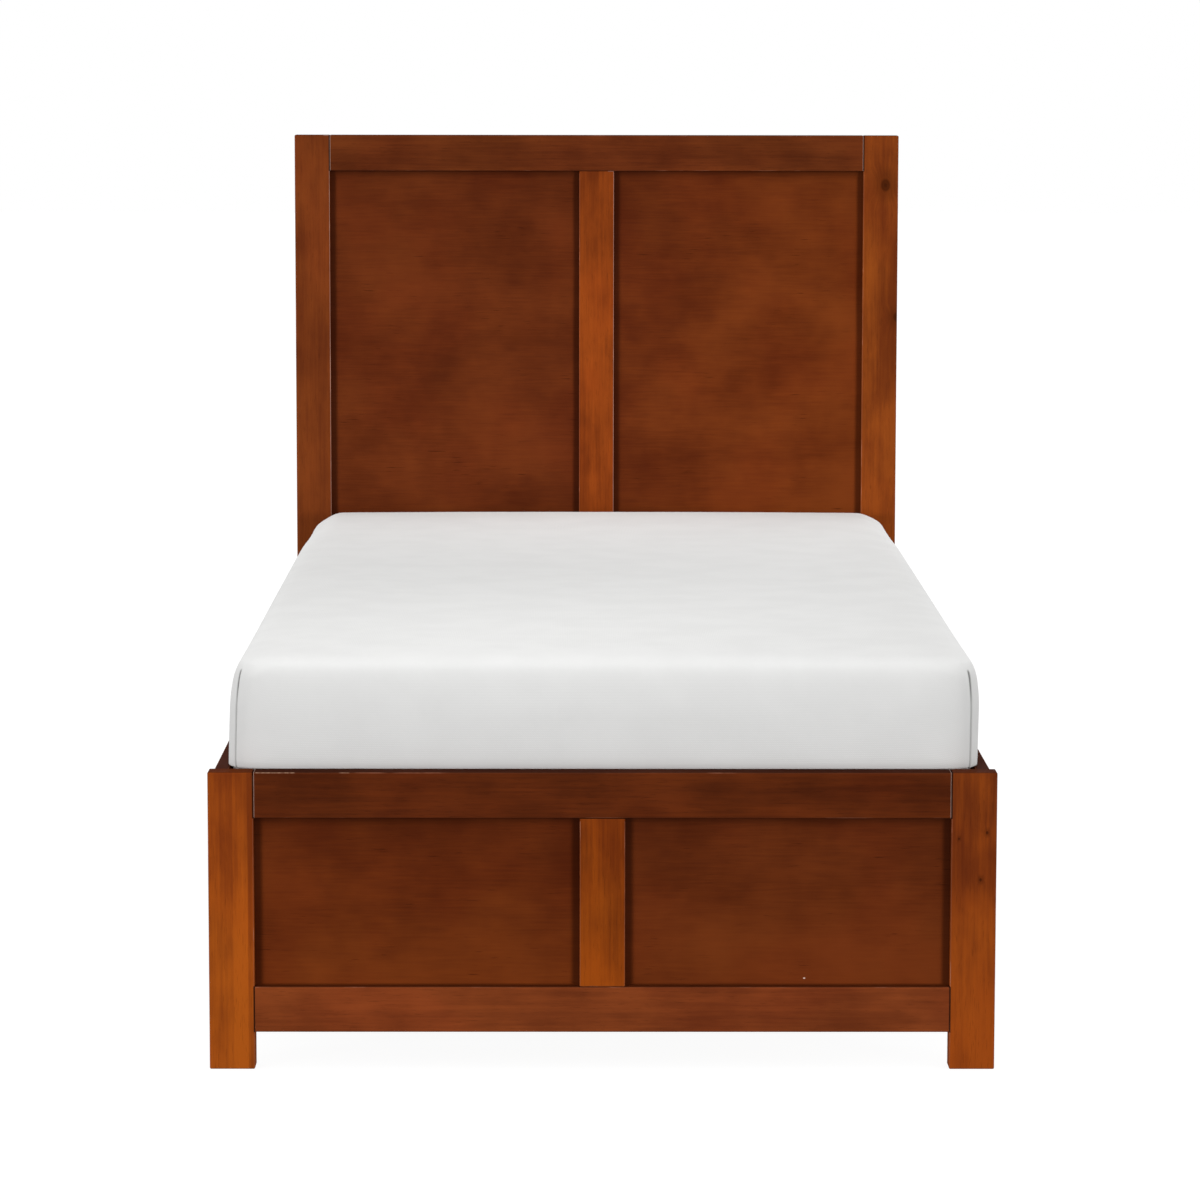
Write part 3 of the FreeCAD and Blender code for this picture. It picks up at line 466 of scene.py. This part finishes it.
def bracket_paint():
    """Black powder paint with a fine orange-peel skin."""
    finish = Finish("bracket_paint", Metallic=0.0)
    point = finish.vector(*finish.place())
    peel = finish.noise(point, 900.0, 2.0)
    wear = finish.noise(point, 60.0, 3.0).rise(0.6, 0.75)
    tint = finish.mix(wear * 0.4, colour(38, 38, 40), colour(70, 69, 68))
    return finish.paint(Base_Color=tint, Roughness=peel * 0.2 + 0.4, Normal=finish.bump(peel, 0.0001, 0.6))


def zinc_plate():
    """Bright zinc on steel, slightly clouded."""
    finish = Finish("zinc_plate", Metallic=1.0)
    point = finish.vector(*finish.place())
    cloud = finish.noise(point, 140.0, 3.0, 0.6)
    grit = finish.noise(point, 2600.0, 1.0)
    tint = finish.mix(cloud.rise(0.3, 0.7), colour(168, 166, 160), colour(208, 207, 203))
    return finish.paint(Base_Color=tint, Roughness=cloud * 0.25 + 0.22,
                        Normal=finish.bump(grit, 0.00004, 0.4))


def foot_plastic():
    """Moulded black plastic with a matte grain."""
    finish = Finish("foot_plastic")
    point = finish.vector(*finish.place())
    grit = finish.noise(point, 1500.0, 2.0)
    tint = finish.mix(finish.noise(point, 80.0).rise(0.3, 0.7), colour(30, 30, 31), colour(46, 46, 47))
    return finish.paint(Base_Color=tint, Roughness=grit * 0.2 + 0.5, Normal=finish.bump(grit, 0.0001, 0.5))


PAINTED = ("left_bracket", "right_bracket", "beam_hanger")
PLATED = ("slat_screws", "cleat_screws", "bracket_screws", "bracket_bolts", "bracket_washers", "post_inserts",
          "hanger_screws", "leg_bolts", "leg_tee_nuts", "strap_staples", "front_leveller_stem",
          "rear_leveller_stem")
paint, zinc, plastic = bracket_paint(), zinc_plate(), foot_plastic()
for node in nodes:
    if node.endswith(PAINTED):
        dress(node, paint)
    if node in PLATED:
        dress(node, zinc)
    if node.endswith("leveller_pad"):
        dress(node, plastic)


# Mattress


def pick(piece):
    """Select one object alone and make it active."""
    bpy.ops.object.select_all(action="DESELECT")
    piece.select_set(True)
    bpy.context.view_layer.objects.active = piece


def apply_modifier(piece, kind, **settings):
    modifier = piece.modifiers.new(kind.lower(), kind)
    for name, value in settings.items():
        setattr(modifier, name, value)
    bpy.ops.object.modifier_apply(modifier=modifier.name)


MATTRESS_LOW, MATTRESS_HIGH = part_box("mattress")
MATTRESS_CORNER = 0.056
CORNER_AXIS = Vector((MATTRESS_HIGH.x - MATTRESS_CORNER, MATTRESS_HIGH.y - MATTRESS_CORNER))
VOXEL = 0.0145
SLACK = 0.002
BULGE = 0.002
PRESSURE = 0.05
SWELL_FRAMES = 20
RAIL_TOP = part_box("left_side_rail")[1].z
FOOT_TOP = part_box("footboard_top_rail")[1].z
HELD_BELOW = RAIL_TOP - 0.01
LEDGE_START = RAIL_TOP - 0.0005
LEDGE_HEIGHT = 0.0022
LEDGE_CUTS = (0.0, 0.35, 0.7, 1.0, 1.6)
SEAM_TURN = math.radians(52)
SEAM_CUTS = (-0.0056, -0.0036, -0.0018, 0.0, 0.0018, 0.0036, 0.0056)
SEAM_DEPTH = 0.0018
SEAM_LIP = 0.0007
SEAM_WIDTH = 0.0016
LIP_PLACE = 0.0036
SEAM_FADE = 0.006
SEAM_REACH = 0.02
SEAM_TOP = MATTRESS_HIGH.z - 0.017
SPREAD = 0.006
RIGHT_SPREAD = 0.0022
DRIFT = 0.005
REAR_LIFT = 0.003
LEFT_SLUMP = 0.013
RIGHT_SLUMP = 0.009
FOOT_LEAD, FOOT_EASE = 0.008, 0.012
LIFT_FROM, LIFT_OVER = 0.6, 0.3
SLUMP_FROM, SLUMP_OVER = 0.45, 0.42
SLUMP_ACROSS = 0.046


def swell(piece):
    """Blow the slack cover up with cloth pressure, a little past its size above the rails that hold it."""
    slack = [vertex.co.copy() for vertex in piece.data.vertices]
    rest = piece.vertex_groups.new(name="between_rails")
    rest.add([v.index for v in piece.data.vertices if v.co.z < HELD_BELOW], 1.0, "REPLACE")
    cloth = piece.modifiers.new("filling", "CLOTH")
    cloth.settings.use_pressure = True
    cloth.settings.uniform_pressure_force = PRESSURE
    cloth.settings.effector_weights.gravity = 0.0
    cloth.settings.vertex_group_mass = rest.name
    for number in range(1, SWELL_FRAMES + 1):
        bpy.context.scene.frame_set(number)
    bpy.ops.object.modifier_apply(modifier=cloth.name)
    bpy.context.scene.frame_set(1)
    for vertex, start in zip(piece.data.vertices, slack):
        move = vertex.co - start
        if move.length > SLACK + BULGE:
            vertex.co = start + move * ((SLACK + BULGE) / move.length)
    piece.vertex_groups.clear()


def eased(share):
    """Goes smoothly from 0 at 0 to 1 at 1."""
    share = min(max(share, 0.0), 1.0)
    return share * share * (3 - 2 * share)


def settle(piece):
    """Spread the filling over the rails, lean it right, lift its rear edge and slump its rear corners."""
    bpy.ops.object.mode_set(mode="EDIT")
    for share in LEDGE_CUTS:
        bpy.ops.mesh.select_all(action="SELECT")
        bpy.ops.mesh.bisect(plane_co=(0, 0, LEDGE_START + share * LEDGE_HEIGHT), plane_no=(0, 0, 1))
    bpy.ops.object.mode_set(mode="OBJECT")
    for vertex in piece.data.vertices:
        over_rails = eased((vertex.co.z - LEDGE_START) / LEDGE_HEIGHT)
        over_foot = eased((vertex.co.z - FOOT_TOP + FOOT_LEAD) / FOOT_EASE)
        height = (vertex.co.z - RAIL_TOP) / (MATTRESS_HIGH.z - RAIL_TOP)
        side = vertex.co.x / MATTRESS_HIGH.x
        aside = SPREAD * side + DRIFT * height + RIGHT_SPREAD * max(side, 0.0) * (1 - height)
        lift = REAR_LIFT * eased((vertex.co.y - LIFT_FROM) / LIFT_OVER)
        corner = eased((abs(vertex.co.x) - CORNER_AXIS.x) / SLUMP_ACROSS)
        corner = corner * eased((vertex.co.y - SLUMP_FROM) / SLUMP_OVER)
        slump = (LEFT_SLUMP if side < 0 else RIGHT_SLUMP) * corner
        vertex.co.z += max(height, 0.0) * (lift - slump)
        vertex.co.x += over_rails * aside
        vertex.co.y += over_foot * SPREAD * min(vertex.co.y / MATTRESS_HIGH.y, 0.0)


def seam_distance(point):
    """Distance of a point from the seam's plane in its corner, and from the corner's axis."""
    out = Vector((abs(point.x), abs(point.y))) - CORNER_AXIS
    return out.x * math.cos(SEAM_TURN) - out.y * math.sin(SEAM_TURN), out


def sew_corners(piece):
    """Cut the cover along its corner seams and sink the seam's line in between two soft lips."""
    for side in (-1, 1):
        for end in (-1, 1):
            across = Vector((side * math.cos(SEAM_TURN), -end * math.sin(SEAM_TURN), 0))
            axis = Vector((side * CORNER_AXIS.x, end * CORNER_AXIS.y, 0))
            corner = piece.vertex_groups.new(name="corner")
            near_x, near_y = CORNER_AXIS.x - SEAM_REACH, CORNER_AXIS.y - SEAM_REACH
            corner.add([vertex.index for vertex in piece.data.vertices
                        if vertex.co.x * side > near_x and vertex.co.y * end > near_y], 1.0, "REPLACE")
            bpy.ops.object.mode_set(mode="EDIT")
            for cut in SEAM_CUTS:
                bpy.ops.mesh.select_all(action="DESELECT")
                bpy.ops.object.vertex_group_select()
                bpy.ops.mesh.bisect(plane_co=axis + across * cut, plane_no=across)
            bpy.ops.object.mode_set(mode="OBJECT")
            piece.vertex_groups.clear()
    for vertex in piece.data.vertices:
        distance, out = seam_distance(vertex.co)
        if abs(distance) > 2 * SEAM_CUTS[-1] or out.x < 0 or out.y < 0:
            continue
        shown = min(max((SEAM_TOP - vertex.co.z) / SEAM_FADE, 0.0), 1.0)
        valley = math.exp(-(distance / SEAM_WIDTH) ** 2)
        lip = math.exp(-((abs(distance) - LIP_PLACE) / SEAM_WIDTH) ** 2)
        vertex.co += vertex.normal * shown * (SEAM_LIP * lip - SEAM_DEPTH * valley)


def woven_cover():
    """White woven ticking: fine threads, soft unevenness, and painted shade along the valleys of the corner
    seams.
    """
    finish = Finish("woven_cover", Specular_IOR_Level=0.0)
    x, y, z = finish.place()
    point = finish.vector(x, y, z)
    warp = ((x + z) * 2600).sine()
    weft = ((y + z) * 2600).sine()
    slub = finish.noise(finish.vector(x * 3, y * 40, z * 40), 6.0, 3.0)
    cloud = finish.noise(point, 13.0, 3.0)
    white = finish.mix(cloud.rise(0.3, 0.7), colour(234, 234, 233), colour(237, 237, 236))
    out_x = abs(x) - CORNER_AXIS.x
    out_y = abs(y) - CORNER_AXIS.y
    seam = abs(out_x * math.cos(SEAM_TURN) - out_y * math.sin(SEAM_TURN))
    # Painted shade: a dark grey line in the valley of each corner seam, darker higher up.
    seam_shade = seam.fall(0.0009, 0.003) * out_x.rise(0.0, 0.002) * out_y.rise(0.0, 0.002)
    seam_shade = seam_shade * z.fall(SEAM_TOP - 0.005, SEAM_TOP)
    depth = z.rise(SEAM_TOP - 0.05, SEAM_TOP - 0.02) * 0.3 + 0.38
    white = finish.mix(seam_shade * depth, white, colour(62, 61, 58))
    height = warp * 0.25 + weft * 0.25 + slub * 0.6
    return finish.paint(Base_Color=white, Roughness=slub * 0.1 + 0.78,
                        Normal=finish.bump(height, 0.0003, 0.3))


def make_mattress():
    """The filled mattress in its cover, swollen from a slack copy of its solid."""
    piece = bpy.data.objects.new("mattress_cover", nodes["mattress"].data.copy())
    bpy.context.scene.collection.objects.link(piece)
    pick(piece)
    bpy.ops.object.mode_set(mode="EDIT")
    bpy.ops.mesh.select_all(action="SELECT")
    bpy.ops.mesh.remove_doubles(threshold=0.00001)
    bpy.ops.object.mode_set(mode="OBJECT")
    apply_modifier(piece, "REMESH", mode="VOXEL", voxel_size=VOXEL)
    bpy.ops.object.mode_set(mode="EDIT")
    bpy.ops.mesh.select_all(action="SELECT")
    bpy.ops.transform.shrink_fatten(value=-SLACK)
    bpy.ops.object.mode_set(mode="OBJECT")
    swell(piece)
    apply_modifier(piece, "SUBSURF", levels=1, render_levels=1)
    settle(piece)
    sew_corners(piece)
    bpy.ops.object.shade_smooth()
    piece.data.materials.clear()
    piece.data.materials.append(woven_cover())
    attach(piece, "mattress")
    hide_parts("mattress")


make_mattress()


# Webbing that ties the slats


def webbing():
    """Woven polypropylene tape."""
    finish = Finish("webbing")
    x, y, z = finish.place()
    rib = (y * 2100).sine() * (x * 4200).sine()
    fuzz = finish.noise(finish.vector(x, y, z), 700.0, 2.0)
    tint = finish.mix(rib * 0.5 + 0.5, colour(176, 170, 156), colour(208, 204, 192))
    tint = finish.mix(fuzz.rise(0.55, 0.75) * 0.4, tint, colour(160, 153, 138))
    return finish.paint(Base_Color=tint, Roughness=fuzz * 0.2 + 0.6, Normal=finish.bump(rib, 0.0003, 0.8))


TAPE_STEPS = 240
TAPE_SAG = 0.0025


def make_strap(side, material):
    """A tape stapled to every slat, sagging a little in the gaps between them."""
    node = f"{side}_slat_strap"
    low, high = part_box(node)
    middle = (low + high) / 2
    bpy.ops.object.select_all(action="DESELECT")
    bpy.ops.mesh.primitive_plane_add(size=1.0, location=(middle.x, middle.y, high.z))
    piece = bpy.context.active_object
    piece.name = f"{side}_webbing"
    piece.scale = (high.x - low.x, high.y - low.y, 1.0)
    bpy.ops.object.transform_apply(location=True, rotation=True, scale=True)
    for edge in piece.data.edges:
        start, end = (piece.data.vertices[index].co for index in edge.vertices)
        edge.select = abs(start.y - end.y) > 0.1
    for vertex in piece.data.vertices:
        vertex.select = False
    bpy.ops.object.mode_set(mode="EDIT")
    bpy.ops.mesh.select_mode(type="EDGE")
    bpy.ops.mesh.subdivide(number_cuts=TAPE_STEPS)
    bpy.ops.object.mode_set(mode="OBJECT")
    slat_half = (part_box(slats[0])[1].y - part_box(slats[0])[0].y) / 2
    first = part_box(slats[0])[0].y + slat_half
    for vertex in piece.data.vertices:
        place = (vertex.co.y - first) / slat_step
        from_slat = abs(place - round(place)) * slat_step - slat_half
        if from_slat > 0:
            share = from_slat / (slat_step / 2 - slat_half)
            vertex.co.z -= TAPE_SAG * math.sin(share * math.pi / 2) ** 2
    apply_modifier(piece, "SOLIDIFY", thickness=high.z - low.z, offset=-1.0)
    piece.data.materials.append(material)
    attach(piece, "frame")
    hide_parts(node)


tape = webbing()
for side in ("left", "right"):
    make_strap(side, tape)


# Floor, background and light

FLOOR_SIZE = 60.0
FLOOR_GLOW = 0.93
AMBIENT = 0.72


def make_floor():
    """A plain pale floor. To the camera it is near white and keeps a soft shadow."""
    bpy.ops.object.select_all(action="DESELECT")
    bpy.ops.mesh.primitive_plane_add(size=FLOOR_SIZE)
    floor = bpy.context.active_object
    floor.name = "floor"
    finish = Finish("pale_floor")
    plain = finish.node("ShaderNodeBsdfDiffuse", None, {"Color": (0.2, 0.2, 0.2, 1.0)})
    faint = finish.node("ShaderNodeBsdfDiffuse", None, {"Color": (0.16, 0.16, 0.16, 1.0)})
    glow = finish.node("ShaderNodeEmission", None, {"Color": (1.0, 1.0, 1.0, 1.0), "Strength": FLOOR_GLOW})
    shown = finish.node("ShaderNodeAddShader", None, {0: faint, 1: glow})
    surface = finish.node("ShaderNodeMixShader", None, {0: finish.seen(), 1: plain, 2: shown})
    finish.feed(finish.tree.nodes["Material Output"].inputs["Surface"], surface)
    floor.data.materials.append(finish.material)


def make_world():
    """White behind everything, and a weaker even light from all round."""
    world = bpy.data.worlds.new("studio")
    world.use_nodes = True
    bpy.context.scene.world = world
    tree = Tree(world.node_tree)
    strength = tree.seen() * (1.0 - AMBIENT) + AMBIENT
    tree.feed(world.node_tree.nodes["Background"].inputs["Color"], (1.0, 1.0, 1.0, 1.0))
    tree.feed(world.node_tree.nodes["Background"].inputs["Strength"], strength)


def hang_lamp(name, kind, place, aim, power, **settings):
    lamp = bpy.data.lights.new(name, kind)
    lamp.energy = power
    for setting, value in settings.items():
        setattr(lamp, setting, value)
    holder = bpy.data.objects.new(name, lamp)
    bpy.context.scene.collection.objects.link(holder)
    holder.location = place
    holder.rotation_euler = (Vector(aim) - Vector(place)).to_track_quat("-Z", "Y").to_euler()


make_floor()
make_world()
hang_lamp("left_light", "SUN", (-3.0, -2.7, 0.4), (0.0, 0.0, 0.0), 0.94, angle=math.radians(12))
hang_lamp("right_light", "SUN", (3.0, -2.7, 0.4), (0.0, 0.0, 0.0), 0.75, angle=math.radians(12))
hang_lamp("top_light", "SUN", (-0.2, 0.3, 3.0), (0.0, 0.0, 0.0), 0.31, angle=math.radians(40))
hang_lamp("front_light", "SPOT", (-0.2, -0.35, 3.2), (-0.2, -0.84, 0.5), 44.0,
          spot_size=math.radians(30), spot_blend=1.0, shadow_soft_size=0.5)
hang_lamp("rear_light", "SPOT", (0.0, 0.7, 3.2), (0.0, 0.92, 0.5), 76.0,
          spot_size=math.radians(30), spot_blend=1.0, shadow_soft_size=0.5)
hang_lamp("back_light", "SUN", (2.2, 4.6, 1.2), (0.0, 0.0, 0.0), 0.4, angle=math.radians(20))


# Camera

IMAGE_SIDE = 1200
FOCAL_PIXELS = 4532.2
SENSOR = 36.0
CAMERA_PLACE = (-0.0356, -6.8808, 1.3467)
CAMERA_TURN = (90 - 6.970, -0.081, -0.300)


def make_camera():
    lens = bpy.data.cameras.new("camera")
    lens.sensor_width = SENSOR
    lens.lens = SENSOR * FOCAL_PIXELS / IMAGE_SIDE
    lens.clip_end = 200.0
    camera = bpy.data.objects.new("camera", lens)
    bpy.context.scene.collection.objects.link(camera)
    camera.location = CAMERA_PLACE
    camera.rotation_euler = [math.radians(turn) for turn in CAMERA_TURN]
    bpy.context.scene.camera = camera


make_camera()
bpy.context.scene.view_settings.view_transform = "Standard"
